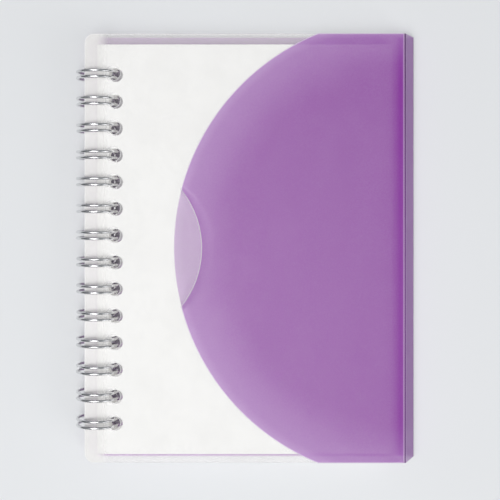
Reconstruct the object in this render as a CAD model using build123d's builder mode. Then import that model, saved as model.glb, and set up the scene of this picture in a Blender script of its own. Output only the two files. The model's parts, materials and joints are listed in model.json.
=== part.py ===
from build123d import *
import os
from math import asin, atan, cos, degrees, hypot, radians, sin, sqrt, tan

# A wire-bound pocket notebook, lying with its front cover up. A closure flap comes round the fore-edge
# from the back cover, and its tip is tucked through a curved slit in the front cover.
#
# +X runs from the binding to the fore-edge, +Y from the foot to the head, and +Z up. The origin is under
# the middle of the whole book, on the surface that it rests on. The rings stand out further than the back
# cover, so the book rests on them and on the crease by the fore-edge, and leans down towards that crease.
# The plane BOOK leans with it. Its local x is called "reach" and its local z "level", and both are measured
# from the binding axis, the line through the middles of the rings.

# Driving dimensions, in millimetres: covers and flap
COVER_HEIGHT = 135.0
FOLD_REACH = 97.4  # to the crease between the flap and the spine panel
SPINE_SLANT = 4.1  # how much further out the back crease is than the front one
COVER_MARGIN = 3.55  # how far both covers stand past the binding axis on the binding side
FRONT_COVER_GAP = 0.8  # from the front cover's fore-edge to the crease
COVER_THICKNESS = 0.5
JACKET_THICKNESS = 0.45  # back cover, spine panel and flap, which are one creased sheet
CORNER_RADIUS = 3.0
FLAP_REACH = 72.9  # from the crease to the flap's tip
FLAP_SHOULDER = 27.5  # from the crease to the flap's arc at the head and the foot
SLIT_CHORD = 37.1
SLIT_SAGITTA = 6.6
RAMP_ANGLE = 60.0  # slope of the flap where it passes through the slit, in degrees

# Driving dimensions: sheets and binding
SHEET_COUNT = 50
SHEET_THICKNESS = 0.1
SHEET_GAP = 0.01
SHEET_MARGIN = 0.25  # from the binding axis to the sheets' bound edge
FORE_EDGE_GAP = 4.0  # from the sheets' fore-edge to the crease
HEAD_GAP = 2.85  # from the covers' head and foot to the sheets'
HOLE_DIAMETER = 4.4
RING_PITCH = 25.4 / 3
END_MARGIN = 12.0  # least distance from the head or foot to the middle of a ring
RING_SPARE = 2.2  # from the covers' outer faces to the middle of the wire
WIRE_DIAMETER = 0.9
WIRE_SPACING = 1.97  # between the two wires of a ring
BEND_RADIUS = 1.0  # where a ring turns into the straight run to the next one

# Clearances
LAYER_CLEARANCE = 0.1  # between the flap and what it lies on or under
TIP_CLEARANCE = 0.21  # between the top sheet and the flap's tip
SEAM_CLEARANCE = 0.075  # around the wire's straight runs, under the last sheet
SEAM_GAP = 0.24  # between the rings' tips and the straight runs that close them
TURN_CLEARANCE = 0.1  # between the front cover, turned right over, and the back cover
HOLE_CLEARANCE = 0.1
SLIT_CLEARANCE = 0.1
SLIT_END_CLEARANCE = 0.5
WIRE_DROP = 0.2  # how far the wire hangs towards the foot inside the covers' holes
SHEET_DROP = 0.4  # how far the sheets hang towards the foot

# Levels, from the back cover up to the flap
stack_height = SHEET_COUNT * SHEET_THICKNESS + (SHEET_COUNT - 1) * SHEET_GAP
seam_space = WIRE_DIAMETER + 2 * SEAM_CLEARANCE
inner_height = seam_space + stack_height + TIP_CLEARANCE + JACKET_THICKNESS + LAYER_CLEARANCE
back_cover_level = -inner_height / 2 - JACKET_THICKNESS
last_sheet_level = -inner_height / 2 + seam_space
front_cover_level = inner_height / 2
tip_level = front_cover_level - LAYER_CLEARANCE - JACKET_THICKNESS
flap_level = front_cover_level + COVER_THICKNESS + LAYER_CLEARANCE
flap_top = flap_level + JACKET_THICKNESS
front_cover_top = front_cover_level + COVER_THICKNESS
hinge_level = (front_cover_top - inner_height / 2 + TURN_CLEARANCE) / 2

# The binding axis and the lean: the rings and the back crease touch one level surface
ring_radius = front_cover_top + RING_SPARE
ring_outside = ring_radius + WIRE_DIAMETER / 2
back_fold_reach = FOLD_REACH + SPINE_SLANT
back_fold_distance = hypot(back_fold_reach, back_cover_level)
lean = asin(ring_outside / back_fold_distance) + asin(back_cover_level / back_fold_distance)
axis_x = (ring_outside - back_fold_reach * cos(lean) - back_cover_level * sin(lean)) / 2
axis_z = ring_outside

BOOK = Plane(origin=(axis_x, 0, axis_z), x_dir=(cos(lean), 0, -sin(lean)), z_dir=(sin(lean), 0, cos(lean)))
SIDE = Plane(origin=BOOK.origin, x_dir=BOOK.x_dir, z_dir=(0, -1, 0))  # its local y is the level

# Rows of rings and holes
ring_count = int((COVER_HEIGHT - 2 * END_MARGIN) / RING_PITCH) + 1
ring_half_width = (WIRE_SPACING + WIRE_DIAMETER) / 2

# The flap's edge is an arc through both shoulders and the tip, and the slit's ends lie on it
flap_sagitta = FLAP_REACH - FLAP_SHOULDER
flap_radius = ((COVER_HEIGHT / 2) ** 2 + flap_sagitta**2) / (2 * flap_sagitta)
flap_centre = FOLD_REACH - FLAP_REACH + flap_radius
slit_radius = ((SLIT_CHORD / 2) ** 2 + SLIT_SAGITTA**2) / (2 * SLIT_SAGITTA)
slit_end = flap_centre - sqrt(flap_radius**2 - (SLIT_CHORD / 2) ** 2)
slit_centre = slit_end + SLIT_SAGITTA - slit_radius

CUT_DEPTH = 2 * COVER_THICKNESS


def hole_reach(low, high):
    """How far the holes of a leaf are from the binding axis, so that the rings pass them at every angle."""
    furthest = max(abs(low - hinge_level), abs(high - hinge_level))
    inside = ring_radius - WIRE_DIAMETER / 2 - hinge_level
    innermost = sqrt(inside**2 - furthest**2)
    half_chord = sqrt((HOLE_DIAMETER / 2) ** 2 - (ring_half_width + WIRE_DROP) ** 2)
    return innermost + half_chord - HOLE_CLEARANCE


def ring_plane(angle, y, turn=1):
    """The plane square to a ring, at an angle from the covers' direction, facing along the ring."""
    a = radians(angle) - lean
    origin = (axis_x + ring_radius * cos(a), y, axis_z + ring_radius * sin(a))
    return Plane(origin=origin, x_dir=(0, 1, 0), z_dir=(-turn * sin(a), 0, turn * cos(a)))


def ring_spoke(angle, y, turn=1):
    """The axis that points out of a ring along its radius."""
    a = radians(angle) - lean
    origin = (axis_x + ring_radius * cos(a), y, axis_z + ring_radius * sin(a))
    return Axis(origin, (turn * cos(a), 0, turn * sin(a)))


os.makedirs("parts", exist_ok=True)

# Front cover: a frosted sheet of its own, with the row of holes and the curved slit
cover_hole_reach = hole_reach(front_cover_level, front_cover_top)
front_cover_width = FOLD_REACH - FRONT_COVER_GAP + COVER_MARGIN
front_cover_middle = front_cover_width / 2 - COVER_MARGIN
ramp_slope = radians(RAMP_ANGLE)
slit_half_width = (
    COVER_THICKNESS / 2 / tan(ramp_slope)
    + JACKET_THICKNESS / 2 / sin(ramp_slope)
    + SLIT_CLEARANCE
)
slit_spare = degrees((2 * slit_half_width + SLIT_END_CLEARANCE) / slit_radius)
slit_half_angle = degrees(asin(SLIT_CHORD / 2 / slit_radius)) + slit_spare

with BuildPart() as front_cover:
    with BuildSketch(BOOK.offset(front_cover_level)):
        with Locations((front_cover_middle, 0)):
            RectangleRounded(front_cover_width, COVER_HEIGHT, CORNER_RADIUS)
        with Locations((cover_hole_reach, 0)), GridLocations(0, RING_PITCH, 1, ring_count):
            Circle(HOLE_DIAMETER / 2, mode=Mode.SUBTRACT)
    extrude(amount=COVER_THICKNESS)
    slit_angles = (-slit_half_angle, 2 * slit_half_angle)
    slit_arc = CenterArc((slit_centre, 0), slit_radius, *slit_angles, mode=Mode.PRIVATE)
    with BuildSketch(BOOK.offset(front_cover_level)):
        SlotArc(slit_arc, 2 * slit_half_width)
    extrude(amount=CUT_DEPTH, both=True, mode=Mode.SUBTRACT)
front_cover.part.label = "front_cover"
export_step(front_cover.part, "parts/front_cover.step")

# Spine panel: from crease to crease, mitred where it meets the flap and the back cover
spine_drop = flap_top - back_cover_level
spine_length = hypot(SPINE_SLANT, spine_drop)
spine_inset = JACKET_THICKNESS * spine_length / spine_drop
front_fold = (FOLD_REACH, flap_top)
back_fold = (back_fold_reach, back_cover_level)
mitre_shift = JACKET_THICKNESS * SPINE_SLANT / spine_drop
front_fold_inside = (FOLD_REACH + mitre_shift - spine_inset, flap_level)
back_fold_inside = (back_fold_reach - mitre_shift - spine_inset, back_cover_level + JACKET_THICKNESS)

with BuildPart() as spine_panel:
    with BuildSketch(SIDE):
        with BuildLine():
            Polyline(front_fold, back_fold, back_fold_inside, front_fold_inside, close=True)
        make_face()
    extrude(amount=COVER_HEIGHT / 2, both=True)
spine_panel.part.label = "spine_panel"
export_step(spine_panel.part, "parts/spine_panel.step")

# Back cover: the same row of holes, rounded on the binding side, mitred at the back crease
back_cover_outline = [
    (-COVER_MARGIN, back_cover_level),
    back_fold,
    back_fold_inside,
    (-COVER_MARGIN, back_cover_level + JACKET_THICKNESS),
]

with BuildPart() as back_cover:
    with BuildSketch(SIDE):
        with BuildLine():
            Polyline(*back_cover_outline, close=True)
        make_face()
    extrude(amount=COVER_HEIGHT / 2, both=True)
    binding_corners = back_cover.edges().filter_by(Axis(BOOK.origin, BOOK.z_dir)).group_by(Axis.X)[0]
    fillet(binding_corners, CORNER_RADIUS)
    with BuildSketch(BOOK.offset(back_cover_level)):
        with Locations((cover_hole_reach, 0)), GridLocations(0, RING_PITCH, 1, ring_count):
            Circle(HOLE_DIAMETER / 2)
    extrude(amount=CUT_DEPTH, both=True, mode=Mode.SUBTRACT)
back_cover.part.label = "back_cover"
export_step(back_cover.part, "parts/back_cover.step")

# Closure flap: it lies on the front cover, drops through the slit and ends under the cover.
# Its step is turned about the slit's centre, and its outline is then cut from that stepped disc.
ramp_run = (flap_level - tip_level) / tan(ramp_slope)
ramp_shift = JACKET_THICKNESS / 2 * tan(ramp_slope / 2)
ramp_start = slit_radius - ramp_run / 2
ramp_end = slit_radius + ramp_run / 2
disc_radius = 2 * hypot(FLAP_REACH, COVER_HEIGHT / 2)
step_profile = [
    (0, tip_level),
    (ramp_start + ramp_shift, tip_level),
    (ramp_end + ramp_shift, flap_level),
    (disc_radius, flap_level),
    (disc_radius, flap_level + JACKET_THICKNESS),
    (ramp_end - ramp_shift, flap_level + JACKET_THICKNESS),
    (ramp_start - ramp_shift, tip_level + JACKET_THICKNESS),
    (0, tip_level + JACKET_THICKNESS),
]
head_shoulder = (FOLD_REACH - FLAP_SHOULDER, COVER_HEIGHT / 2)
foot_shoulder = (FOLD_REACH - FLAP_SHOULDER, -COVER_HEIGHT / 2)
slit_origin = BOOK.from_local_coords((slit_centre, 0, 0))

with BuildPart() as closure_flap:
    with BuildSketch(Plane(origin=slit_origin, x_dir=SIDE.x_dir, z_dir=SIDE.z_dir)):
        with BuildLine():
            Polyline(*step_profile, close=True)
        make_face()
    revolve(axis=Axis(slit_origin, BOOK.z_dir))
    with BuildSketch(BOOK):
        with BuildLine():
            ThreePointArc(head_shoulder, (FOLD_REACH - FLAP_REACH, 0), foot_shoulder)
            Polyline(
                foot_shoulder,
                (FOLD_REACH, -COVER_HEIGHT / 2),
                (FOLD_REACH, COVER_HEIGHT / 2),
                head_shoulder,
            )
        make_face()
    extrude(amount=ring_outside, mode=Mode.INTERSECT)
    with BuildSketch(SIDE):
        with BuildLine():
            Polyline(
                front_fold,
                front_fold_inside,
                (front_fold[0], front_fold_inside[1]),
                close=True,
            )
        make_face()
    extrude(amount=COVER_HEIGHT, both=True, mode=Mode.SUBTRACT)
closure_flap.part.label = "closure_flap"
export_step(closure_flap.part, "parts/closure_flap.step")

# Wire binding: one ring is two wires joined at the tip, with half of the straight run on each side
base_level = -inner_height / 2 + SEAM_CLEARANCE + WIRE_DIAMETER / 2
base_angle = degrees(asin(base_level / hypot(ring_radius, BEND_RADIUS)))
ring_start = base_angle + degrees(atan(BEND_RADIUS / ring_radius))
tip_angle = base_angle - degrees((WIRE_DIAMETER + SEAM_GAP) / ring_radius)
ring_end = tip_angle - degrees(atan(WIRE_SPACING / 2 / ring_radius)) + 360
run_length = (RING_PITCH - WIRE_SPACING) / 2 - BEND_RADIUS
run_start = ring_plane(ring_start, 0, -1).origin + ring_plane(ring_start, 0, -1).z_dir * BEND_RADIUS

with BuildPart() as ring:
    with BuildSketch(ring_plane(ring_end, WIRE_SPACING / 2)):
        Circle(WIRE_DIAMETER / 2)
    revolve(axis=ring_spoke(ring_end, 0), revolution_arc=180)
    for side in (-1, 1):
        wire_y = side * WIRE_SPACING / 2
        with BuildSketch(ring_plane(ring_start, wire_y)):
            Circle(WIRE_DIAMETER / 2)
        revolve(axis=Axis((axis_x, 0, axis_z), (0, -1, 0)), revolution_arc=ring_end - ring_start)
        with BuildSketch(ring_plane(ring_start, wire_y, -1)):
            Circle(WIRE_DIAMETER / 2)
        revolve(axis=ring_spoke(ring_start, wire_y + side * BEND_RADIUS, side), revolution_arc=90)
        run_end = Vector(run_start.X, wire_y + side * BEND_RADIUS, run_start.Z)
        with BuildSketch(Plane(origin=run_end, x_dir=(1, 0, 0), z_dir=(0, side, 0))):
            Circle(WIRE_DIAMETER / 2)
        extrude(amount=run_length)

with BuildPart() as wire_binding:
    with Locations((0, -WIRE_DROP, 0)), GridLocations(0, RING_PITCH, 1, ring_count):
        add(ring.part)
wire_binding.part.label = "wire_binding"
export_step(wire_binding.part, "parts/wire_binding.step")

# Sheets: sheet_01 is the top one
sheet_width = FOLD_REACH - FORE_EDGE_GAP - SHEET_MARGIN
sheet_height = COVER_HEIGHT - 2 * HEAD_GAP
sheet_middle = SHEET_MARGIN + sheet_width / 2
stack_top = last_sheet_level + stack_height
sheet_hole_reach = hole_reach(last_sheet_level, stack_top)
sheet_step = SHEET_THICKNESS + SHEET_GAP

for number in range(1, SHEET_COUNT + 1):
    sheet_level = stack_top - SHEET_THICKNESS - (number - 1) * sheet_step
    with BuildPart() as sheet:
        with BuildSketch(BOOK.offset(sheet_level)):
            with Locations((sheet_middle, -SHEET_DROP)):
                Rectangle(sheet_width, sheet_height)
            with Locations((sheet_hole_reach, -SHEET_DROP)), GridLocations(0, RING_PITCH, 1, ring_count):
                Circle(HOLE_DIAMETER / 2, mode=Mode.SUBTRACT)
        extrude(amount=SHEET_THICKNESS)
    sheet.part.label = f"sheet_{number:02d}"
    export_step(sheet.part, f"parts/{sheet.part.label}.step")
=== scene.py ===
import json
from math import asin, atan, atan2, cos, hypot, pi, radians, sin, sqrt, tan

import bmesh
import bpy
import numpy as np
from bpy.props import FloatProperty, FloatVectorProperty, IntProperty, PointerProperty
from mathutils import Matrix, Vector
from mathutils.geometry import delaunay_2d_cdt


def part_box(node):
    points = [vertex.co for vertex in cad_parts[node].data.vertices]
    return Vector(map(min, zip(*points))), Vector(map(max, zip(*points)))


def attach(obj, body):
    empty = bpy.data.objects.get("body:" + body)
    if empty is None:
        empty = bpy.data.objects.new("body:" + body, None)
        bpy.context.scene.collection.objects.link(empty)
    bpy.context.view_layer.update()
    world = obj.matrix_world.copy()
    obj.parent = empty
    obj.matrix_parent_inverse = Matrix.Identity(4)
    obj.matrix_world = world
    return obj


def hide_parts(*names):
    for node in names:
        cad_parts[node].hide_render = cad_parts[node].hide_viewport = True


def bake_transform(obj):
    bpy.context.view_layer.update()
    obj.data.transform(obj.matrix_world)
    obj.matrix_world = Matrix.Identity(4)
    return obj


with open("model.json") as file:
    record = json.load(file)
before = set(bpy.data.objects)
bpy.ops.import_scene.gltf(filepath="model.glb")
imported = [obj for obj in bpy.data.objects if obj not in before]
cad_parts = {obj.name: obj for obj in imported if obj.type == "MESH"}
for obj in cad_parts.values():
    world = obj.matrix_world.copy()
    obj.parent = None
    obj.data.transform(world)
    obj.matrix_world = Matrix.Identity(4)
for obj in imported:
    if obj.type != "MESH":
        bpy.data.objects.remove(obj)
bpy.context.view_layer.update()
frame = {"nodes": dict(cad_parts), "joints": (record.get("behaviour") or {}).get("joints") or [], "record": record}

bl_info = {
    "name": "Pocket Notebook",
    "version": (1, 0, 0),
    "blender": (4, 5, 0),
    "location": "3D View > Sidebar > Notebook",
    "description": "Builds a wire-bound pocket notebook with a frosted cover and a tucked closure flap",
    "category": "Add Mesh",
}

MM = 0.001
POINT_GAP = 0.25 * MM  # least distance from an extra point of a sheet to its edges
GRID_MARGIN = 1 * MM  # how far those points go on past a bend
PLASTIC_IOR = 1.49


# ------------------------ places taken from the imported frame
# Every piece is made in book coordinates and then placed by BOOK. Their x is the reach from the binding axis,
# y runs from the foot to the head, and z is the level above the axis.
def book_frame():
    """The matrix from book coordinates to the frame. Its origin is in the middle of the rings."""
    low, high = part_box("wire_binding")
    outside = (high.z - low.z) / 2
    normal = Vector(frame["record"]["mounts"][0]["axis"]).normalized()
    head = Vector((0, 1, 0))
    turned = Matrix((head.cross(normal), head, normal)).transposed().to_4x4()
    return Matrix.Translation((low.x + outside, 0, low.z + outside)) @ turned


BOOK = book_frame()
TO_BOOK = BOOK.inverted()
JOINTS = {joint["name"]: joint for joint in frame["joints"]}


def book_points(node):
    """The corners of a CAD node in book coordinates."""
    return [TO_BOOK @ v.co for v in frame["nodes"][node].data.vertices]


def book_box(node):
    """The lowest and highest corner of a CAD node in book coordinates."""
    points = np.array(book_points(node))
    return Vector(points.min(0)), Vector(points.max(0))


def hole_row(node):
    """Reach, foremost y and radius of a cover's row of holes, from the corners that no outer edge is near."""
    low, high = book_box(node)
    nearest, farthest, end = low.x + 1 * MM, 12 * MM, high.y - 6 * MM
    beside = [p for p in book_points(node) if nearest < p.x < farthest and abs(p.y) < end]
    reaches = [p.x for p in beside]
    radius = (max(reaches) - min(reaches)) / 2
    return min(reaches) + radius, max(p.y for p in beside) - radius, radius


FRONT_LOW, FRONT_HIGH = book_box("front_cover")
BACK_LOW, BACK_HIGH = book_box("back_cover")
FLAP_LOW, FLAP_HIGH = book_box("closure_flap")
WIRE_LOW, WIRE_HIGH = book_box("wire_binding")
LAST_SHEET_LOW = book_box(sorted(n for n in frame["nodes"] if n.startswith("sheet_"))[-1])[0]
FRONT_FOLD = TO_BOOK @ Vector(JOINTS["lift_closure_flap"]["pos_m"])
BACK_FOLD = TO_BOOK @ Vector(JOINTS["swing_spine_panel"]["pos_m"])
HALF_HEIGHT = FRONT_HIGH.y
JACKET = BACK_HIGH.z - BACK_LOW.z
FLAP_SHOULDER = min(p.x for p in book_points("closure_flap") if p.y > HALF_HEIGHT - 0.01 * MM)
FLAP_SAGITTA = FLAP_SHOULDER - FLAP_LOW.x
FLAP_RADIUS = (HALF_HEIGHT**2 + FLAP_SAGITTA**2) / (2 * FLAP_SAGITTA)
FLAP_CENTRE = FLAP_LOW.x + FLAP_RADIUS


# ------------------------ settings
class NotebookCovers(bpy.types.PropertyGroup):
    """Sizes of the covers, the flap and their creases that the frame doesn't hold."""

    corner_radius: FloatProperty(
        name="Corner radius", description="Radius of the covers' corners", default=3 * MM, unit="LENGTH"
    )
    rim_radius: FloatProperty(
        name="Rim radius", description="Rounding of every die-cut edge", default=0.07 * MM, unit="LENGTH"
    )
    # the band of painted light along a cut edge
    edge_glow: FloatProperty(
        name="Edge glow", description="Width of the bright band along a cut edge",
        default=0.45 * MM, unit="LENGTH",
    )
    slit_chord: FloatProperty(
        name="Slit chord", description="Straight distance between the slit's ends",
        default=37.1 * MM, unit="LENGTH",
    )
    slit_sagitta: FloatProperty(
        name="Slit sagitta", description="How far the slit bows away from its chord",
        default=6.6 * MM, unit="LENGTH",
    )
    slit_width: FloatProperty(
        name="Slit width", description="Width of the cut through the front cover",
        default=0.1 * MM, unit="LENGTH",
    )
    lip_lift: FloatProperty(
        name="Lip lift", description="How far the flap pushes the slit's lips apart",
        default=0.46 * MM, unit="LENGTH",
    )
    lip_reach: FloatProperty(
        name="Lip reach", description="How far from the slit the front cover bends",
        default=5 * MM, unit="LENGTH",
    )
    flap_run: FloatProperty(
        name="Flap run", description="Half the length over which the flap changes level",
        default=4 * MM, unit="LENGTH",
    )
    crease_radius: FloatProperty(
        name="Crease radius", description="Outer radius of both creases", default=0.6 * MM, unit="LENGTH"
    )
    crease_thinning: FloatProperty(
        name="Crease thinning", description="Share of the thickness that the score takes away",
        default=0.4, subtype="FACTOR",
    )


class NotebookBinding(bpy.types.PropertyGroup):
    """Sizes of the wire binding that the frame doesn't hold."""

    ring_pitch: FloatProperty(
        name="Ring pitch", description="Distance from ring to ring",
        default=25.4 / 3 * MM, unit="LENGTH", precision=5,
    )
    wire_diameter: FloatProperty(
        name="Wire diameter", description="Thickness of the wire", default=0.9 * MM, unit="LENGTH"
    )
    wire_spacing: FloatProperty(
        name="Wire spacing", description="Between the two wires of a ring",
        default=1.97 * MM, unit="LENGTH", precision=5,
    )
    bend_radius: FloatProperty(
        name="Bend radius", description="Where a ring turns into the straight run",
        default=1 * MM, unit="LENGTH",
    )
    tip_gap: FloatProperty(
        name="Tip gap", description="Between the rings' tips and the straight runs",
        default=0.24 * MM, unit="LENGTH",
    )
    wire_sides: IntProperty(name="Wire sides", description="Flat sides round the wire", default=14, min=6)


class NotebookFinishes(bpy.types.PropertyGroup):
    """Colours and opacities of the materials."""

    frosted: FloatVectorProperty(
        name="Frosted sheet", description="Colour of the front cover",
        subtype="COLOR", size=3, default=(0.825, 0.81, 0.79),
    )
    # painted light along the front cover's cut edges
    frosted_edge: FloatVectorProperty(
        name="Frosted edge", description="Colour of its cut edges",
        subtype="COLOR", size=3, default=(0.93, 0.93, 0.95),
    )
    frosted_opacity: FloatProperty(
        name="Frosted opacity", description="How much the front cover hides",
        subtype="FACTOR", default=0.145,
    )
    tint: FloatVectorProperty(
        name="Tint", description="Colour of the tinted sheet",
        subtype="COLOR", size=3, default=(0.255, 0.012, 0.345),
    )
    # painted light: the tint where the flap lies on the lit cover, towards its rim
    tint_lit: FloatVectorProperty(
        name="Pale tint", description="Colour towards the flap's rim",
        subtype="COLOR", size=3, default=(0.48, 0.25, 0.58),
    )
    # painted light along the tinted sheet's cut edges
    tint_edge: FloatVectorProperty(
        name="Tinted edge", description="Colour of its cut edges",
        subtype="COLOR", size=3, default=(0.82, 0.70, 0.86),
    )
    # painted shade inside the creases
    tint_score: FloatVectorProperty(
        name="Scored tint", description="Colour inside the creases",
        subtype="COLOR", size=3, default=(0.16, 0.05, 0.24),
    )
    tint_opacity: FloatProperty(
        name="Tint opacity", description="How much the tinted sheet hides",
        subtype="FACTOR", default=0.63,
    )
    paper: FloatVectorProperty(
        name="Paper", description="Colour of the sheets",
        subtype="COLOR", size=3, default=(0.785, 0.78, 0.765),
    )
    # painted glow: the paper's emission strength, for light that soaks through the stack
    paper_glow: FloatProperty(
        name="Paper glow", description="Light that soaks through the stack of sheets", default=0.19
    )
    wire: FloatVectorProperty(
        name="Wire", description="Colour of the wire's coating",
        subtype="COLOR", size=3, default=(0.82, 0.82, 0.83),
    )
    floor: FloatVectorProperty(
        name="Floor", description="Colour of the surface under the book",
        subtype="COLOR", size=3, default=(0.80, 0.81, 0.82),
    )


class NotebookStage(bpy.types.PropertyGroup):
    """Camera and lights."""

    camera_height: FloatProperty(
        name="Camera height", description="From the front cover to the camera",
        default=0.32, unit="LENGTH",
    )
    camera_reach: FloatProperty(
        name="Camera reach", description="From the binding axis to the camera",
        default=48.53 * MM, unit="LENGTH",
    )
    camera_head: FloatProperty(
        name="Camera towards head", description="From the book's middle to the camera",
        default=16.7 * MM, unit="LENGTH",
    )
    view_head: FloatProperty(
        name="View towards head", description="From the book's middle to the view's",
        default=-0.58 * MM, unit="LENGTH",
    )
    focal_length: FloatProperty(
        name="Focal length", description="Focal length in millimetres", default=73.26
    )
    key_power: FloatProperty(
        name="Key power", description="Power of the large overhead light in watts", default=12.0
    )
    fill_power: FloatProperty(
        name="Fill power", description="Power of the side light in watts", default=5.0
    )
    key_size: FloatProperty(
        name="Key size", description="Width of the overhead light", default=0.8, unit="LENGTH"
    )
    fill_size: FloatProperty(
        name="Fill size", description="Width of the side light", default=0.9, unit="LENGTH"
    )
    key_place: FloatVectorProperty(
        name="Key place", description="Where the overhead light hangs",
        size=3, default=(-0.26, -0.24, 1.27),
    )
    fill_place: FloatVectorProperty(
        name="Fill place", description="Where the side light stands", size=3, default=(1.1, -0.7, 0.7)
    )
    room_light: FloatProperty(
        name="Room light", description="Strength of the light from all round", default=0.36
    )
    room_low: FloatVectorProperty(
        name="Room low", description="Colour near the horizon",
        subtype="COLOR", size=3, default=(0.22, 0.24, 0.26),
    )
    room_high: FloatVectorProperty(
        name="Room high", description="Colour overhead",
        subtype="COLOR", size=3, default=(0.93, 0.96, 1.0),
    )
    floor_width: FloatProperty(
        name="Floor width", description="Width of the surface", default=4.0, unit="LENGTH"
    )


# ------------------------ mesh helpers
def smoothstep(t):
    """Eases from 0 to 1 as t goes from 0 to 1."""
    t = min(1.0, max(0.0, t))
    return t * t * (3 - 2 * t)


def arc(centre, radius, start, end, steps):
    """Points along an arc, both ends included."""
    angles = (start + (end - start) * i / steps for i in range(steps + 1))
    return [(centre[0] + radius * cos(a), centre[1] + radius * sin(a)) for a in angles]


def inside(points, loop):
    """For each point, whether it lies inside a closed loop."""
    x, y = points[:, 0:1], points[:, 1:2]
    a, b = np.array(loop), np.roll(loop, -1, axis=0)
    crosses = (a[:, 1] > y) != (b[:, 1] > y)
    rise = np.where(b[:, 1] == a[:, 1], 1.0, b[:, 1] - a[:, 1])
    meets = a[:, 0] + (y - a[:, 1]) * (b[:, 0] - a[:, 0]) / rise
    return (crosses & (x < meets)).sum(1) % 2 == 1


def clear_of(points, loops, gap):
    """The points that lie inside the first loop, outside the others and a gap away from all of them."""
    points = np.array(points)
    keep = inside(points, loops[0])
    for loop in loops[1:]:
        keep &= ~inside(points, loop)
    corners = np.concatenate([np.array(loop) for loop in loops])
    for i in np.nonzero(keep)[0]:
        keep[i] = np.hypot(*(corners - points[i]).T).min() > gap
    return [tuple(p) for p in points[keep]]


def cap_triangles(points, loops):
    """Triangles over the area inside the first loop and outside the others; the loops' points come first."""
    edges, first = [], 0
    for loop in loops:
        edges += [(first + i, first + (i + 1) % len(loop)) for i in range(len(loop))]
        first += len(loop)
    found = delaunay_2d_cdt([Vector(p) for p in points], edges, [], 1, 1e-9)
    source = [members[0] for members in found[3]]
    triangles = np.array([[source[i] for i in face] for face in found[2]])
    middles = np.array(points)[triangles].mean(1)
    keep = inside(middles, loops[0])
    for loop in loops[1:]:
        keep &= ~inside(middles, loop)
    return triangles[keep].tolist()


def sheet_mesh(name, loops, extra, low, high, covers, place=BOOK, shift=None):
    """A closed sheet between two levels with rounded rims. The first loop is its outline and the others are
    holes. Each is a function that gives its points for a distance into the material. The extra points let the
    sheet bend, and shift gives each point's change of level."""
    rim, glow = covers.rim_radius, covers.edge_glow
    rounded = [(glow, 0.0), (1.8 * rim, 0.0), (rim, 0.0), (0.29 * rim, 0.29 * rim), (0.0, rim)]
    levels = [(inset, high - drop) for inset, drop in rounded]
    levels += [(inset, low + drop) for inset, drop in reversed(rounded)]
    caps = [loop(levels[0][0]) for loop in loops]
    points = [p for loop in caps for p in loop]
    if extra:
        points += clear_of(extra, caps, POINT_GAP)
    bm = bmesh.new()
    # rim: 1 on a cut edge, fading to 0 a glow's width into the face; it carries the edge's painted light
    rim_mask = bm.verts.layers.float.new("rim")
    top = [bm.verts.new((x, y, high)) for x, y in points]
    bottom = [bm.verts.new((x, y, low)) for x, y in points]
    for a, b, c in cap_triangles(points, caps):
        bm.faces.new((top[a], top[b], top[c]))
        bm.faces.new((bottom[c], bottom[b], bottom[a]))
    first = 0
    for loop, cap in zip(loops, caps):
        rings = [top[first : first + len(cap)]]
        for inset, level in levels[1:-1]:
            rings.append([bm.verts.new((x, y, level)) for x, y in loop(inset)])
            for vert in rings[-1]:
                vert[rim_mask] = 1.0 - inset / glow
        rings.append(bottom[first : first + len(cap)])
        first += len(cap)
        for upper, lower in zip(rings, rings[1:]):
            for i in range(len(cap)):
                j = (i + 1) % len(cap)
                bm.faces.new((upper[i], lower[i], lower[j], upper[j]))
    if shift:
        for vert in bm.verts:
            vert.co.z += shift(vert.co.x, vert.co.y)
    return finish_mesh(name, bm, place)


def add_object(name, data):
    """Links new data as an object at the origin."""
    item = bpy.data.objects.new(name, data)
    bpy.context.scene.collection.objects.link(item)
    return item


def finish_mesh(name, bm, place):
    """Turns the faces outwards, moves the mesh to its place and links it as an object at the origin."""
    bmesh.ops.recalc_face_normals(bm, faces=bm.faces)
    bm.transform(place)
    mesh = bpy.data.meshes.new(name)
    bm.to_mesh(mesh)
    bm.free()
    mesh.shade_smooth()
    return add_object(name, mesh)


def rectangle(low_x, high_x, half, low_radius=0.0, high_radius=0.0, steps=14):
    """The outline of a rectangle, with its own corner radius at its low x and at its high x."""

    def outline(inset):
        points = []
        corners = [(high_x, -half, high_radius, -90), (high_x, half, high_radius, 0)]
        corners += [(low_x, half, low_radius, 90), (low_x, -half, low_radius, 180)]
        for x, y, radius, start in corners:
            inwards_x = -1 if x == high_x else 1
            inwards_y = -1 if y > 0 else 1
            if radius:
                centre = (x + inwards_x * radius, y + inwards_y * radius)
                points += arc(centre, radius - inset, radians(start), radians(start + 90), steps)
            else:
                points.append((x + inwards_x * inset, y + inwards_y * inset))
        return points

    return outline


def round_hole(x, y, radius, steps=48):
    """The edge of a round hole."""

    def edge(inset):
        return arc((x, y), radius + inset, 0, -2 * pi, steps)[:-1]

    return edge


def holes_of(node, pitch):
    """The edges of all the holes in a cover's row."""
    reach, foremost, radius = hole_row(node)
    count = round(2 * foremost / pitch) + 1
    return [round_hole(reach, foremost - i * pitch, radius) for i in range(count)]


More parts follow.
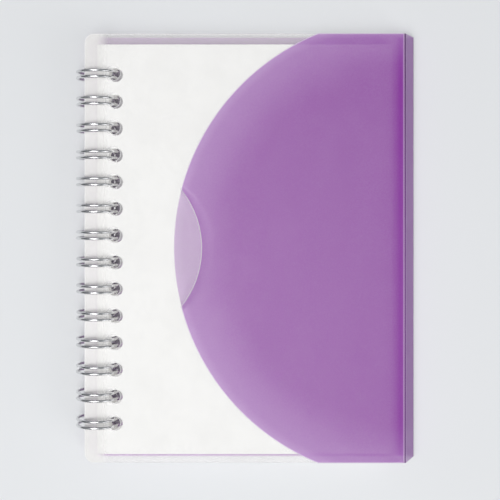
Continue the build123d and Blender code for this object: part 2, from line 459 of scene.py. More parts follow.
class Slit:
    """The curved slit in the front cover, with its ends on the edge of the flap."""

    def __init__(self, covers):
        half_chord, sagitta = covers.slit_chord / 2, covers.slit_sagitta
        self.radius = (half_chord**2 + sagitta**2) / (2 * sagitta)
        end = FLAP_CENTRE - sqrt(FLAP_RADIUS**2 - half_chord**2)
        self.centre = end + sagitta - self.radius
        self.half_angle = asin(half_chord / self.radius)
        self.half_width = covers.slit_width / 2
        self.covers = covers

    def beyond(self, x, y):
        """How far a point is past the slit towards the fore-edge, and how open the slit is, from 0 to 1."""
        share = min(1.0, abs(atan2(y, x - self.centre)) / self.half_angle)
        return hypot(x - self.centre, y) - self.radius, sqrt(1 - share * share)

    def edge(self, inset, steps=72, end_steps=6):
        """The edge of the cut, clockwise."""
        half = self.half_width + inset
        middle, angle = (self.centre, 0.0), self.half_angle
        points = arc(middle, self.radius + half, angle, -angle, steps)
        for side in (-1, 1):
            turn = side * angle
            end = (self.centre + self.radius * cos(turn), self.radius * sin(turn))
            start = turn if side < 0 else turn + pi
            points += arc(end, half, start, start - pi, end_steps)[1:-1]
            if side < 0:
                points += arc(middle, self.radius - half, -angle, angle, steps)
        return points

    def grid(self, before, after, step=0.6 * MM, spread=1.25):
        """Points round the slit, so that the sheets can bend there."""
        rows = int((before + after) / step)
        angle_step = step * 1.5 / self.radius
        turns = int(self.half_angle * spread / angle_step)
        points = []
        for row in range(rows + 1):
            radius = self.radius - before + row * step
            for i in range(-turns, turns + 1):
                points.append((self.centre + radius * cos(i * angle_step), radius * sin(i * angle_step)))
        return points

    def cover_shift(self, x, y):
        """The lip before the slit rides up over the flap, and the other is pushed down under it."""
        past, open_share = self.beyond(x, y)
        lift = self.covers.lip_lift * (1 - (1 - open_share) ** 3)
        fade = 1 - smoothstep(abs(past) / (self.covers.lip_reach * (0.15 + 0.85 * open_share)))
        return -lift * fade if past > 0 else lift * fade

    def flap_shift(self, x, y):
        """The flap lies on the front cover past the slit, and under it before the slit."""
        past, open_share = self.beyond(x, y)
        run = self.covers.flap_run * (0.08 + 0.92 * open_share)
        drop = FLAP_HIGH.z - JACKET - FLAP_LOW.z
        return -drop * (1 - smoothstep((past + run) / (2 * run)))


def flap_outline(fold_x, steps=160):
    """The flap's edge: one arc from shoulder to shoulder, and straight edges back to the crease."""

    def outline(inset):
        radius, half = FLAP_RADIUS - inset, HALF_HEIGHT - inset
        turn = asin(half / radius)
        points = arc((FLAP_CENTRE, 0), radius, pi - turn, pi + turn, steps)
        return points + [(fold_x - inset, -half), (fold_x - inset, half)]

    return outline


# ------------------------ creases
def spine_direction():
    """The unit vectors down the spine panel and out of it, in the plane of reach and level."""
    along = (BACK_FOLD - FRONT_FOLD).normalized()
    return along, Vector((-along.z, 0, along.x))


def crease_bend(fold):
    """The angle that the sheet turns through at a fold line."""
    along = spine_direction()[0]
    slope = atan2(-along.z, along.x)
    return slope if fold == FRONT_FOLD else pi - slope


def crease_cut(fold, covers):
    """How far from a fold line the flat sheets stop and its crease starts."""
    return covers.crease_radius * tan(crease_bend(fold) / 2)


def crease_mesh(name, fold, toward, outward, covers, steps=16):
    """A scored bend: it starts where the sheet that runs toward the fold stops, and thins in its middle."""
    cut, bend = crease_cut(fold, covers), crease_bend(fold)
    middle = fold - toward * cut - outward * covers.crease_radius
    bm = bmesh.new()
    # score marks the crease's middle, where the tint gets its painted shade
    score = bm.verts.layers.float.new("score")
    half = HALF_HEIGHT - covers.rim_radius
    rows = []
    for i in range(steps + 1):
        share = i / steps
        turn = bend * share
        spoke = outward * cos(turn) + toward * sin(turn)
        thickness = JACKET * (1 - covers.crease_thinning * sin(pi * share) ** 2)
        outer = middle + spoke * covers.crease_radius
        inner = middle + spoke * (covers.crease_radius - thickness)
        corners = ((outer, -half), (outer, half), (inner, half), (inner, -half))
        rows.append([bm.verts.new((p.x, y, p.z)) for p, y in corners])
        for vert in rows[-1]:
            vert[score] = sin(pi * share)
    for row, following in zip(rows, rows[1:]):
        for i in range(4):
            j = (i + 1) % 4
            bm.faces.new((row[i], row[j], following[j], following[i]))
    bm.faces.new(rows[0])
    bm.faces.new(rows[-1])
    return finish_mesh(name, bm, BOOK)


# ------------------------ shader groups and materials
def group_input(tree, name, kind, default):
    socket = tree.interface.new_socket(name=name, in_out="INPUT", socket_type=kind)
    socket.default_value = default
    return socket


def feed(tree, value, socket):
    """Links an input to the socket that its value comes from, or sets it to the value."""
    if isinstance(value, bpy.types.NodeSocket):
        tree.links.new(value, socket)
    else:
        socket.default_value = value


def add_node(tree, kind, **inputs):
    """A new node with its inputs set or linked. Underscores in their names stand for spaces."""
    node = tree.nodes.new(kind)
    for name, value in inputs.items():
        feed(tree, value, node.inputs[name.replace("_", " ")])
    return node


def math(tree, operation, a, b=0.0, c=0.0, clamp=False):
    """A Math node. Each value is a number or the socket that it comes from."""
    node = tree.nodes.new("ShaderNodeMath")
    node.operation = operation
    node.use_clamp = clamp
    for socket, value in zip(node.inputs, (a, b, c)):
        feed(tree, value, socket)
    return node.outputs[0]


def remap(tree, value, from_low, from_high, to_low=0.0, to_high=1.0, smooth=True):
    """A Map Range node, eased unless smooth is off."""
    ends = {"From_Min": from_low, "From_Max": from_high, "To_Min": to_low, "To_Max": to_high}
    node = add_node(tree, "ShaderNodeMapRange", Value=value, **ends)
    node.interpolation_type = "SMOOTHSTEP" if smooth else "LINEAR"
    return node.outputs["Result"]


def mix_colour(tree, factor, a, b):
    """A Mix node for colours. Each colour is three numbers or the socket that it comes from."""
    node = tree.nodes.new("ShaderNodeMix")
    node.data_type = "RGBA"
    tree.links.new(factor, node.inputs["Factor"])
    for socket, value in ((node.inputs[6], a), (node.inputs[7], b)):
        feed(tree, value if isinstance(value, bpy.types.NodeSocket) else (*value, 1.0), socket)
    return node.outputs[2]


def noise(tree, coordinates, scale, detail=2.0, roughness=0.5):
    """A Noise Texture node."""
    inputs = {"Vector": coordinates, "Scale": scale, "Detail": detail, "Roughness": roughness}
    return add_node(tree, "ShaderNodeTexNoise", **inputs).outputs["Fac"]


def sheet_grain_group():
    """Moulded grain of a plastic sheet: its fine texture, its slow clouding, and faint rub marks."""
    if "sheet_grain" in bpy.data.node_groups:
        return bpy.data.node_groups["sheet_grain"]
    tree = bpy.data.node_groups.new("sheet_grain", "ShaderNodeTree")
    group_input(tree, "Coordinates", "NodeSocketVector", (0, 0, 0))
    group_input(tree, "Grain Size", "NodeSocketFloat", 0.25 * MM)
    group_input(tree, "Cloud Size", "NodeSocketFloat", 9 * MM)
    for name in ("Grain", "Cloud", "Rub"):
        tree.interface.new_socket(name=name, in_out="OUTPUT", socket_type="NodeSocketFloat")
    start, end = tree.nodes.new("NodeGroupInput"), tree.nodes.new("NodeGroupOutput")
    coordinates = start.outputs["Coordinates"]
    fine = noise(tree, coordinates, math(tree, "DIVIDE", 1.0, start.outputs["Grain Size"]), 3.0, 0.6)
    cloud = noise(tree, coordinates, math(tree, "DIVIDE", 1.0, start.outputs["Cloud Size"]), 4.0, 0.55)
    turned = (0, 0, radians(33))
    stretch = add_node(tree, "ShaderNodeMapping", Vector=coordinates, Rotation=turned, Scale=(0.12, 1.0, 1.0))
    rub = noise(tree, stretch.outputs["Vector"], 1 / (0.9 * MM), 2.0, 0.5)
    tree.links.new(fine, end.inputs["Grain"])
    tree.links.new(remap(tree, cloud, 0.3, 0.7), end.inputs["Cloud"])
    tree.links.new(remap(tree, rub, 0.62, 0.78), end.inputs["Rub"])
    return tree


def cut_edge_group():
    """A mask for the painted light on a sheet's cut edge: it is 1 on the edge and fades where the edge rounds into
    its face.
    """
    if "cut_edge" in bpy.data.node_groups:
        return bpy.data.node_groups["cut_edge"]
    tree = bpy.data.node_groups.new("cut_edge", "ShaderNodeTree")
    group_input(tree, "Strength", "NodeSocketFloat", 1.0)
    group_input(tree, "Falloff", "NodeSocketFloat", 1.5)
    tree.interface.new_socket(name="Mask", in_out="OUTPUT", socket_type="NodeSocketFloat")
    start, end = tree.nodes.new("NodeGroupInput"), tree.nodes.new("NodeGroupOutput")
    rim = tree.nodes.new("ShaderNodeAttribute")
    rim.attribute_name = "rim"
    eased = math(tree, "POWER", rim.outputs["Fac"], start.outputs["Falloff"])
    tree.links.new(math(tree, "MULTIPLY", eased, start.outputs["Strength"]), end.inputs["Mask"])
    return tree


def start_material(name):
    """A new material with its Principled shader and the piece's own coordinates."""
    material = bpy.data.materials.new(name)
    material.use_nodes = True
    tree = material.node_tree
    shader = tree.nodes["Principled BSDF"]
    place = tree.nodes.new("ShaderNodeTexCoord").outputs["Object"]
    return material, tree, shader, place


def use_group(tree, group, **inputs):
    """A node for a group. Underscores in the inputs' names stand for spaces."""
    node = tree.nodes.new("ShaderNodeGroup")
    node.node_tree = group
    for name, value in inputs.items():
        feed(tree, value, node.inputs[name.replace("_", " ")])
    return node


def add_bump(tree, shader, height, strength, depth):
    """Raises the surface by a height map."""
    bump = add_node(tree, "ShaderNodeBump", Height=height, Strength=strength, Distance=depth)
    tree.links.new(bump.outputs["Normal"], shader.inputs["Normal"])


def see_through(tree, shader, opacity, light_share):
    """Alpha of a sheet that scatters light: it hides more from the eye than it holds back."""
    rays = tree.nodes.new("ShaderNodeLightPath")
    share = remap(tree, rays.outputs["Is Camera Ray"], 0.0, 1.0, light_share, 1.0, smooth=False)
    tree.links.new(math(tree, "MULTIPLY", opacity, share, clamp=True), shader.inputs["Alpha"])


def box_mask(tree, place, low, high, soft):
    """A mask that is 1 inside a rectangle of the book's plane and 0 outside it, with soft edges."""
    parts = add_node(tree, "ShaderNodeSeparateXYZ", Vector=place)
    mask = None
    for axis, start, end in (("X", low.x, high.x), ("Y", low.y, high.y)):
        value = parts.outputs[axis]
        rise = remap(tree, value, start - soft, start + soft)
        fall = remap(tree, value, end - soft, end + soft, 1.0, 0.0)
        both = math(tree, "MULTIPLY", rise, fall)
        mask = both if mask is None else math(tree, "MULTIPLY", mask, both)
    return mask


def frosted_material(finishes):
    """Frosted clear sheet: milky over the bound margin, clearer where it touches the pages. The milk is painted
    light by position, for the light the sheet scatters over the gaps beneath it; it also brightens a band at the
    pages' fore-edge, and past the pages the sheet turns clear so that the shade beneath shows.
    """
    if "frosted_sheet_finish" in bpy.data.materials:
        return bpy.data.materials["frosted_sheet_finish"]
    material, tree, shader, place = start_material("frosted_sheet_finish")
    grain = use_group(tree, sheet_grain_group(), Coordinates=place, Grain_Size=0.22 * MM, Cloud_Size=14 * MM)
    edge = use_group(tree, cut_edge_group(), Strength=0.6).outputs["Mask"]
    clouded = tuple(0.965 * c for c in finishes.frosted)
    face = mix_colour(tree, grain.outputs["Cloud"], finishes.frosted, clouded)
    # painted light on the cut edges
    tree.links.new(mix_colour(tree, edge, face, finishes.frosted_edge), shader.inputs["Base Color"])
    rough = remap(tree, grain.outputs["Cloud"], 0.0, 1.0, 0.40, 0.48, smooth=False)
    rough = math(tree, "ADD", rough, math(tree, "MULTIPLY", grain.outputs["Rub"], -0.06))
    tree.links.new(rough, shader.inputs["Roughness"])
    pages_low, pages_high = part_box("sheet_01")
    beyond = Vector((10 * MM, 0, 0))
    over_pages = box_mask(tree, place, pages_low, pages_high + beyond, 0.5 * MM)
    # painted light: extra milk over the gaps at head, foot and bound margin and a band at the pages' fore-edge;
    # past the pages the cover turns clear
    head_light_veil, bound_light_veil, fore_light_veil = 0.12, 0.48, 0.42
    painted_veil = remap(tree, over_pages, 0.0, 1.0, finishes.frosted_opacity + head_light_veil, finishes.frosted_opacity)
    reach = add_node(tree, "ShaderNodeSeparateXYZ", Vector=place).outputs["X"]
    bound = remap(tree, reach, pages_low.x - 1 * MM, pages_low.x + 4 * MM, bound_light_veil, 0.0)
    past_pages = remap(tree, reach, pages_high.x - 0.5 * MM, pages_high.x + 2.8 * MM, 1.0, 0.0)
    painted_veil = math(tree, "ADD", painted_veil, remap(tree, reach, pages_high.x - 3 * MM, pages_high.x, 0.0, fore_light_veil))
    painted_veil = math(tree, "ADD", math(tree, "MULTIPLY", painted_veil, past_pages), bound)
    painted_veil = math(tree, "ADD", painted_veil, math(tree, "MULTIPLY", grain.outputs["Cloud"], 0.03))
    # the cut edge is also more opaque, so its painted light shows
    edged = math(tree, "MULTIPLY_ADD", edge, 0.5, painted_veil)
    see_through(tree, shader, edged, 0.25)
    add_bump(tree, shader, grain.outputs["Grain"], 0.25, 0.02 * MM)
    shader.inputs["IOR"].default_value = PLASTIC_IOR
    return material


def tinted_material(finishes, name="tinted_sheet_finish", light_share=0.9, painted_sheen=0.0):
    """Tinted sheet: deep in the middle, made paler towards the flap's rim by painted light for the lit cover under
    it, and with painted light on its cut edge.

    The light share is how much of its opacity holds light back, and paleness lifts the whole tint with painted
    sheen, for a face that catches the light at a steep angle."""
    if name in bpy.data.materials:
        return bpy.data.materials[name]
    material, tree, shader, place = start_material(name)
    grain = use_group(tree, sheet_grain_group(), Coordinates=place, Grain_Size=0.5 * MM, Cloud_Size=11 * MM)
    edge = use_group(tree, cut_edge_group()).outputs["Mask"]
    centre = BOOK @ Vector((FLAP_CENTRE, 0, FLAP_HIGH.z))
    away = tree.nodes.new("ShaderNodeVectorMath")
    away.operation = "DISTANCE"
    away.inputs[1].default_value = centre
    tree.links.new(place, away.inputs[0])
    from_rim = math(tree, "SUBTRACT", FLAP_RADIUS, away.outputs["Value"])
    # painted light: paler towards the flap's rim, with a narrower bright band along it, for the lit cover under
    # the flap
    broad_rim_light = remap(tree, from_rim, 0.0, 20 * MM, 0.50, 0.0)
    narrow_rim_light = remap(tree, from_rim, 0.0, 3.5 * MM, 0.30, 0.0)
    pale_painted_light = math(tree, "ADD", broad_rim_light, narrow_rim_light, clamp=True)
    rim_light_and_cloud = math(tree, "MULTIPLY_ADD", grain.outputs["Cloud"], 0.05, pale_painted_light)
    # paleness adds painted sheen to the whole sheet
    level = math(tree, "ADD", rim_light_and_cloud, painted_sheen - 0.11)
    light_and_grain = math(tree, "MULTIPLY_ADD", grain.outputs["Grain"], 0.22, level, clamp=True)
    face = mix_colour(tree, light_and_grain, finishes.tint, finishes.tint_lit)
    # painted shade: darker in the middle of each crease
    score = tree.nodes.new("ShaderNodeAttribute")
    score.attribute_name = "score"
    crease_shaded = mix_colour(tree, math(tree, "MULTIPLY", score.outputs["Fac"], 0.7), face, finishes.tint_score)
    # painted light on the cut edges
    tree.links.new(mix_colour(tree, edge, crease_shaded, finishes.tint_edge), shader.inputs["Base Color"])
    rough = remap(tree, grain.outputs["Cloud"], 0.0, 1.0, 0.38, 0.46, smooth=False)
    rough = math(tree, "ADD", rough, math(tree, "MULTIPLY", grain.outputs["Rub"], -0.07))
    tree.links.new(rough, shader.inputs["Roughness"])
    opacity = math(tree, "MULTIPLY_ADD", edge, 0.1, finishes.tint_opacity)
    see_through(tree, shader, opacity, light_share)
    add_bump(tree, shader, grain.outputs["Grain"], 0.3, 0.025 * MM)
    shader.inputs["IOR"].default_value = PLASTIC_IOR
    return material


def paper_material(finishes):
    """Smooth uncoated white paper with faint fibres."""
    if "paper_finish" in bpy.data.materials:
        return bpy.data.materials["paper_finish"]
    material, tree, shader, place = start_material("paper_finish")
    cloud = noise(tree, place, 1 / (2.5 * MM), 5.0, 0.65)
    fibres = add_node(tree, "ShaderNodeMapping", Vector=place, Scale=(1.0, 0.22, 1.0))
    fibre = noise(tree, fibres.outputs["Vector"], 1 / (0.12 * MM), 2.0, 0.7)
    darker = tuple(0.955 * c for c in finishes.paper)
    tone = math(tree, "MULTIPLY_ADD", fibre, 0.5, math(tree, "MULTIPLY", cloud, 0.5))
    tree.links.new(mix_colour(tree, tone, finishes.paper, darker), shader.inputs["Base Color"])
    tree.links.new(remap(tree, fibre, 0.2, 0.8, 0.78, 0.9), shader.inputs["Roughness"])
    add_bump(tree, shader, fibre, 0.2, 0.01 * MM)
    # painted glow: the paper emits light, standing in for light that soaks through the stack and fills its holes
    shader.inputs["Emission Color"].default_value = (1.0, 0.99, 0.97, 1.0)
    shader.inputs["Emission Strength"].default_value = finishes.paper_glow
    return material


def wire_material(finishes):
    """Bright silver coating with a fine grain, and patches that are a little duller and rougher."""
    if "wire_finish" in bpy.data.materials:
        return bpy.data.materials["wire_finish"]
    material, tree, shader, place = start_material("wire_finish")
    grain = use_group(tree, sheet_grain_group(), Coordinates=place, Grain_Size=0.08 * MM, Cloud_Size=2.5 * MM)
    dull = tuple(0.86 * c for c in finishes.wire)
    tree.links.new(mix_colour(tree, grain.outputs["Cloud"], finishes.wire, dull), shader.inputs["Base Color"])
    rough = remap(tree, grain.outputs["Cloud"], 0.0, 1.0, 0.17, 0.27, smooth=False)
    tree.links.new(rough, shader.inputs["Roughness"])
    add_bump(tree, shader, grain.outputs["Grain"], 0.15, 0.004 * MM)
    shader.inputs["Metallic"].default_value = 1.0
    return material


def floor_material(finishes):
    """Plain pale matt surface."""
    material, tree, shader, place = start_material("floor_finish")
    cloud = noise(tree, place, 1 / (60 * MM), 3.0, 0.5)
    darker = tuple(0.985 * c for c in finishes.floor)
    tree.links.new(mix_colour(tree, cloud, finishes.floor, darker), shader.inputs["Base Color"])
    shader.inputs["Roughness"].default_value = 0.75
    return material


def dress(piece, material):
    """Gives a piece its material in a new slot."""
    piece.data.materials.append(material)


# ------------------------ wire
def ring_centreline(binding):
    """Middle of one ring's wire: half a straight run, up to the tip, back down, half a run."""
    radius = (WIRE_HIGH.z - WIRE_LOW.z - binding.wire_diameter) / 2
    half_spacing, bend = binding.wire_spacing / 2, binding.bend_radius
    base_level = (BACK_HIGH.z + LAST_SHEET_LOW.z) / 2
    base = asin(base_level / hypot(radius, bend))
    start = base + atan(bend / radius)
    tip = base - (binding.wire_diameter + binding.tip_gap) / radius
    end = tip - atan(half_spacing / radius) + 2 * pi
    across = Vector((0, 1, 0))
    down = Vector((sin(start), 0, -cos(start)))
    onward = Vector((-sin(end), 0, cos(end)))
    foot = Vector((radius * cos(start), 0, radius * sin(start)))
    tip_middle = Vector((radius * cos(end), 0, radius * sin(end)))

    def half_ring(side, ring_steps=88, bend_steps=10):
        """From the end of the straight run on one side up to the tip's half circle."""
        run_end = foot + down * bend + across * side * binding.ring_pitch / 2
        turn_middle = foot + across * side * (half_spacing + bend)
        points = [run_end]
        for i in range(bend_steps, 0, -1):
            turn = pi / 2 * i / bend_steps
            points.append(turn_middle - across * side * bend * cos(turn) + down * bend * sin(turn))
        for i in range(ring_steps + 1):
            turn = start + (end - start) * i / ring_steps
            points.append(Vector((radius * cos(turn), side * half_spacing, radius * sin(turn))))
        return points

    tip_steps = 14
    turns = [pi * i / tip_steps for i in range(1, tip_steps)]
    round_tip = [tip_middle - across * half_spacing * cos(t) + onward * half_spacing * sin(t) for t in turns]
    return half_ring(-1) + round_tip + half_ring(1)[::-1]


def ring_row_tree():
    """Geometry Nodes that repeat one ring's centreline, join the runs and sweep the wire along them."""
    tree = bpy.data.node_groups.new("ring_row", "GeometryNodeTree")
    tree.interface.new_socket(name="Centreline", in_out="INPUT", socket_type="NodeSocketGeometry")
    group_input(tree, "Ring Count", "NodeSocketInt", 14)
    group_input(tree, "Pitch", "NodeSocketFloat", 8 * MM)
    group_input(tree, "First Ring", "NodeSocketFloat", 0.0)
    group_input(tree, "Wire Diameter", "NodeSocketFloat", 1 * MM)
    group_input(tree, "Wire Sides", "NodeSocketInt", 12)
    tree.interface.new_socket(name="Finish", in_out="INPUT", socket_type="NodeSocketMaterial")
    tree.interface.new_socket(name="Wire", in_out="OUTPUT", socket_type="NodeSocketGeometry")
    start, end = tree.nodes.new("NodeGroupInput"), tree.nodes.new("NodeGroupOutput")
    value = start.outputs
    step = add_node(tree, "ShaderNodeCombineXYZ", Y=value["Pitch"]).outputs[0]
    first = add_node(tree, "ShaderNodeCombineXYZ", Y=value["First Ring"]).outputs[0]
    line = add_node(
        tree, "GeometryNodeMeshLine", Count=value["Ring Count"], Start_Location=first, Offset=step
    ).outputs["Mesh"]
    repeat = add_node(tree, "GeometryNodeInstanceOnPoints", Points=line, Instance=value["Centreline"])
    rings = add_node(tree, "GeometryNodeRealizeInstances", Geometry=repeat.outputs["Instances"]).outputs[0]
    joined = add_node(tree, "GeometryNodeMergeByDistance", Geometry=rings, Distance=0.01 * MM).outputs[0]
    path = add_node(tree, "GeometryNodeMeshToCurve", Mesh=joined).outputs["Curve"]
    radius = math(tree, "MULTIPLY", value["Wire Diameter"], 0.5)
    section = add_node(
        tree, "GeometryNodeCurvePrimitiveCircle", Resolution=value["Wire Sides"], Radius=radius
    ).outputs["Curve"]
    wire = add_node(tree, "GeometryNodeCurveToMesh", Curve=path, Profile_Curve=section, Fill_Caps=True)
    whole = add_node(tree, "GeometryNodeRealizeInstances", Geometry=wire.outputs["Mesh"]).outputs[0]
    finish = add_node(tree, "GeometryNodeSetMaterial", Geometry=whole, Material=value["Finish"])
    tree.links.new(finish.outputs["Geometry"], end.inputs["Wire"])
    return tree


def run_tree(piece, tree, **values):
    """Runs a Geometry Nodes tree on a piece and keeps the result as its plain mesh."""
    modifier = piece.modifiers.new("build", "NODES")
    modifier.node_group = tree
    for item in tree.interface.items_tree:
        key = item.name.replace(" ", "_")
        if item.in_out == "INPUT" and key in values:
            modifier[item.identifier] = values[key]
    depsgraph = bpy.context.evaluated_depsgraph_get()
    mesh = bpy.data.meshes.new_from_object(piece.evaluated_get(depsgraph))
    piece.modifiers.clear()
    piece.data = mesh


# ------------------------ operators
class NOTEBOOK_OT_sheets(bpy.types.Operator):
    """Give every sheet of the page block its paper"""

    bl_idname = "notebook.sheets"
    bl_label = "Sheets"

    def execute(self, context):
        paper = paper_material(context.scene.notebook_finishes)
        for name, node in frame["nodes"].items():
            if name.startswith("sheet_"):
                for slot in node.material_slots:
                    slot.material = paper
        return {"FINISHED"}


class NOTEBOOK_OT_wire(bpy.types.Operator):
    """Build the twin-loop wire as one continuous piece"""

    bl_idname = "notebook.wire"
    bl_label = "Wire binding"

    def execute(self, context):
        binding = context.scene.notebook_binding
        points = ring_centreline(binding)
        mesh = bpy.data.meshes.new("wire_loops")
        mesh.from_pydata(points, [(i, i + 1) for i in range(len(points) - 1)], [])
        piece = add_object("wire_loops", mesh)
        length, finish = WIRE_HIGH.y - WIRE_LOW.y, wire_material(context.scene.notebook_finishes)
        run_tree(
            piece, ring_row_tree(),
            Ring_Count=round(length / binding.ring_pitch), Pitch=binding.ring_pitch,
            First_Ring=WIRE_LOW.y + binding.ring_pitch / 2, Wire_Diameter=binding.wire_diameter,
            Wire_Sides=binding.wire_sides, Finish=finish,
        )
        bm = bmesh.new()
        bm.from_mesh(piece.data)
        bmesh.ops.recalc_face_normals(bm, faces=bm.faces)
        bm.transform(BOOK)
        bm.to_mesh(piece.data)
        bm.free()
        piece.data.shade_smooth()
        if len(piece.data.polygons) == 0:
            raise RuntimeError("the wire has no faces")
        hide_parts("wire_binding")
        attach(piece, "back_and_binding")
        return {"FINISHED"}


class NOTEBOOK_OT_front_cover(bpy.types.Operator):
    """Build the frosted front cover, with its holes and the slit that the flap pushes open"""

    bl_idname = "notebook.front_cover"
    bl_label = "Front cover"

    def execute(self, context):
        covers = context.scene.notebook_covers
        slit = Slit(covers)
        radius = covers.corner_radius
        outline = rectangle(FRONT_LOW.x, FRONT_HIGH.x, HALF_HEIGHT, radius, radius)
        holes = holes_of("front_cover", context.scene.notebook_binding.ring_pitch)
        grid_reach = covers.lip_reach + GRID_MARGIN
        loops, grid = [outline, *holes, slit.edge], slit.grid(grid_reach, grid_reach)
        levels = FRONT_LOW.z, FRONT_HIGH.z
        piece = sheet_mesh("front_cover_sheet", loops, grid, *levels, covers, shift=slit.cover_shift)
        dress(piece, frosted_material(context.scene.notebook_finishes))
        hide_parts("front_cover")
        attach(piece, "front_cover_leaf")
        return {"FINISHED"}


class NOTEBOOK_OT_back_cover(bpy.types.Operator):
    """Build the tinted back cover with its row of holes"""

    bl_idname = "notebook.back_cover"
    bl_label = "Back cover"

    def execute(self, context):
        covers = context.scene.notebook_covers
        cut = crease_cut(BACK_FOLD, covers)
        outline = rectangle(BACK_LOW.x, BACK_FOLD.x - cut, HALF_HEIGHT, covers.corner_radius)
        holes = holes_of("back_cover", context.scene.notebook_binding.ring_pitch)
        piece = sheet_mesh("back_cover_sheet", [outline, *holes], [], BACK_LOW.z, BACK_HIGH.z, covers)
        dress(piece, tinted_material(context.scene.notebook_finishes))
        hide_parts("back_cover")
        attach(piece, "back_and_binding")
        return {"FINISHED"}


class NOTEBOOK_OT_spine(bpy.types.Operator):
    """Build the spine panel and the two scored creases beside it"""

    bl_idname = "notebook.spine"
    bl_label = "Spine panel and creases"

    def execute(self, context):
        covers = context.scene.notebook_covers
        tinted = tinted_material(context.scene.notebook_finishes)
        along, outward = spine_direction()
        front_cut, back_cut = crease_cut(FRONT_FOLD, covers), crease_cut(BACK_FOLD, covers)
        length = (BACK_FOLD - FRONT_FOLD).length
        head = Vector((0, 1, 0))
        place = BOOK @ Matrix.Translation(FRONT_FOLD) @ Matrix((along, head, outward)).transposed().to_4x4()
        outline = rectangle(front_cut, length - back_cut, HALF_HEIGHT)
        panel = sheet_mesh("spine_panel_sheet", [outline], [], -JACKET, 0.0, covers, place=place)
        # painted sheen: the spine's tint is lifted, for its steep face that catches the light
        pale_painted_light = tinted_material(context.scene.notebook_finishes, "tinted_spine_finish", painted_sheen=0.85)
        dress(panel, pale_painted_light)
        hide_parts("spine_panel")
        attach(panel, "spine")

        level, up = Vector((1, 0, 0)), Vector((0, 0, 1))
        front = crease_mesh("front_crease", FRONT_FOLD, level, up, covers)
        dress(front, tinted)
        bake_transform(front)

        back = crease_mesh("back_crease", BACK_FOLD, level, -up, covers)
        dress(back, tinted)
        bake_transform(back)
        return {"FINISHED"}


class NOTEBOOK_OT_flap(bpy.types.Operator):
    """Build the closure flap, which drops through the slit in an even bend"""

    bl_idname = "notebook.flap"
    bl_label = "Closure flap"

    def execute(self, context):
        covers = context.scene.notebook_covers
        slit = Slit(covers)
        cut = crease_cut(FRONT_FOLD, covers)
        grid = slit.grid(covers.slit_sagitta + covers.flap_run, covers.flap_run + GRID_MARGIN)
        loops, levels = [flap_outline(FRONT_FOLD.x - cut)], (FLAP_HIGH.z - JACKET, FLAP_HIGH.z)
        piece = sheet_mesh("closure_flap_sheet", loops, grid, *levels, covers, shift=slit.flap_shift)
        finishes = context.scene.notebook_finishes
        tinted = tinted_material(finishes, "tinted_flap_finish", light_share=0.2)
        dress(piece, tinted)
        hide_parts("closure_flap")
        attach(piece, "flap")
        return {"FINISHED"}


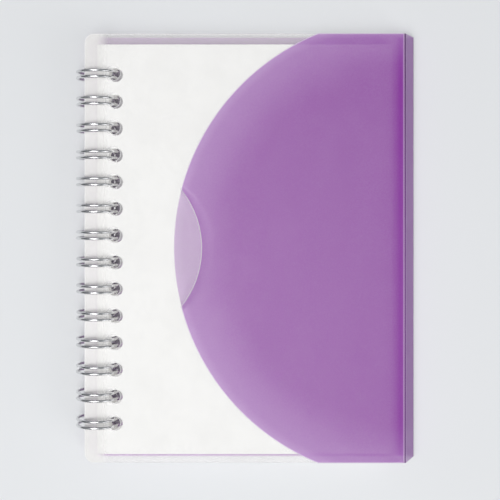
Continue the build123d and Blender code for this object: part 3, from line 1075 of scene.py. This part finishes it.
class NOTEBOOK_OT_stage(bpy.types.Operator):
    """Set up the floor, the lights and the camera"""

    bl_idname = "notebook.stage"
    bl_label = "Stage"

    def execute(self, context):
        settings = context.scene.notebook_stage
        half = settings.floor_width / 2
        corners = [(-half, -half, 0), (half, -half, 0), (half, half, 0), (-half, half, 0)]
        mesh = bpy.data.meshes.new("floor")
        mesh.from_pydata(corners, [], [(0, 1, 2, 3)])
        floor = add_object("floor", mesh)
        mesh.materials.append(floor_material(context.scene.notebook_finishes))

        self.add_light("key_light", settings.key_power, settings.key_size, settings.key_place)
        self.add_light("fill_light", settings.fill_power, settings.fill_size, settings.fill_place)
        world = bpy.data.worlds.new("room")
        world.use_nodes = True
        sky = world.node_tree
        background = sky.nodes["Background"]
        background.inputs["Strength"].default_value = settings.room_light
        ray = sky.nodes.new("ShaderNodeTexCoord").outputs["Generated"]
        upwards = remap(sky, add_node(sky, "ShaderNodeSeparateXYZ", Vector=ray).outputs["Z"], 0.1, 0.9)
        shade = mix_colour(sky, upwards, settings.room_low, settings.room_high)
        sky.links.new(shade, background.inputs["Color"])
        context.scene.world = world
        context.scene.view_settings.view_transform = "Standard"

        lens = bpy.data.cameras.new("camera")
        lens.lens = settings.focal_length
        lens.clip_start = 0.01
        view_width = settings.camera_height * lens.sensor_width / lens.lens
        lens.shift_y = (settings.view_head - settings.camera_head) / view_width
        camera = add_object("camera", lens)
        spot = Vector((settings.camera_reach, settings.camera_head, FRONT_HIGH.z + settings.camera_height))
        camera.matrix_world = Matrix.Translation(BOOK @ spot) @ BOOK.to_3x3().to_4x4()
        context.scene.camera = camera
        return {"FINISHED"}

    def add_light(self, name, power, size, spot):
        """A square soft light that faces the book."""
        data = bpy.data.lights.new(name, "AREA")
        data.energy = power
        data.size = size
        light = add_object(name, data)
        light.location = spot
        light.rotation_euler = (-Vector(spot)).to_track_quat("-Z", "Y").to_euler()


class NOTEBOOK_PT_panel(bpy.types.Panel):
    """The notebook's settings and its pieces"""

    bl_idname = "NOTEBOOK_PT_panel"
    bl_label = "Pocket Notebook"
    bl_space_type = "VIEW_3D"
    bl_region_type = "UI"
    bl_category = "Notebook"

    def draw(self, context):
        for name in SETTINGS:
            settings = getattr(context.scene, name)
            box = self.layout.box()
            box.label(text=name.split("_")[1].capitalize())
            for key in settings.bl_rna.properties.keys():
                if key not in ("name", "rna_type"):
                    box.prop(settings, key)
        for operator in BUILD_ORDER:
            self.layout.operator(operator.bl_idname)


SETTINGS = {
    "notebook_covers": NotebookCovers,
    "notebook_binding": NotebookBinding,
    "notebook_finishes": NotebookFinishes,
    "notebook_stage": NotebookStage,
}
BUILD_ORDER = [
    NOTEBOOK_OT_sheets,
    NOTEBOOK_OT_wire,
    NOTEBOOK_OT_back_cover,
    NOTEBOOK_OT_spine,
    NOTEBOOK_OT_front_cover,
    NOTEBOOK_OT_flap,
    NOTEBOOK_OT_stage,
]


def register():
    for name, settings in SETTINGS.items():
        bpy.utils.register_class(settings)
        setattr(bpy.types.Scene, name, PointerProperty(type=settings))
    for operator in BUILD_ORDER:
        bpy.utils.register_class(operator)
    bpy.utils.register_class(NOTEBOOK_PT_panel)


def unregister():
    bpy.utils.unregister_class(NOTEBOOK_PT_panel)
    for operator in reversed(BUILD_ORDER):
        bpy.utils.unregister_class(operator)
    for name, settings in SETTINGS.items():
        delattr(bpy.types.Scene, name)
        bpy.utils.unregister_class(settings)


def main():
    register()
    bpy.ops.notebook.sheets()
    bpy.ops.notebook.wire()
    bpy.ops.notebook.back_cover()
    bpy.ops.notebook.spine()
    bpy.ops.notebook.front_cover()
    bpy.ops.notebook.flap()
    bpy.ops.notebook.stage()


if __name__ == "__main__":
    main()
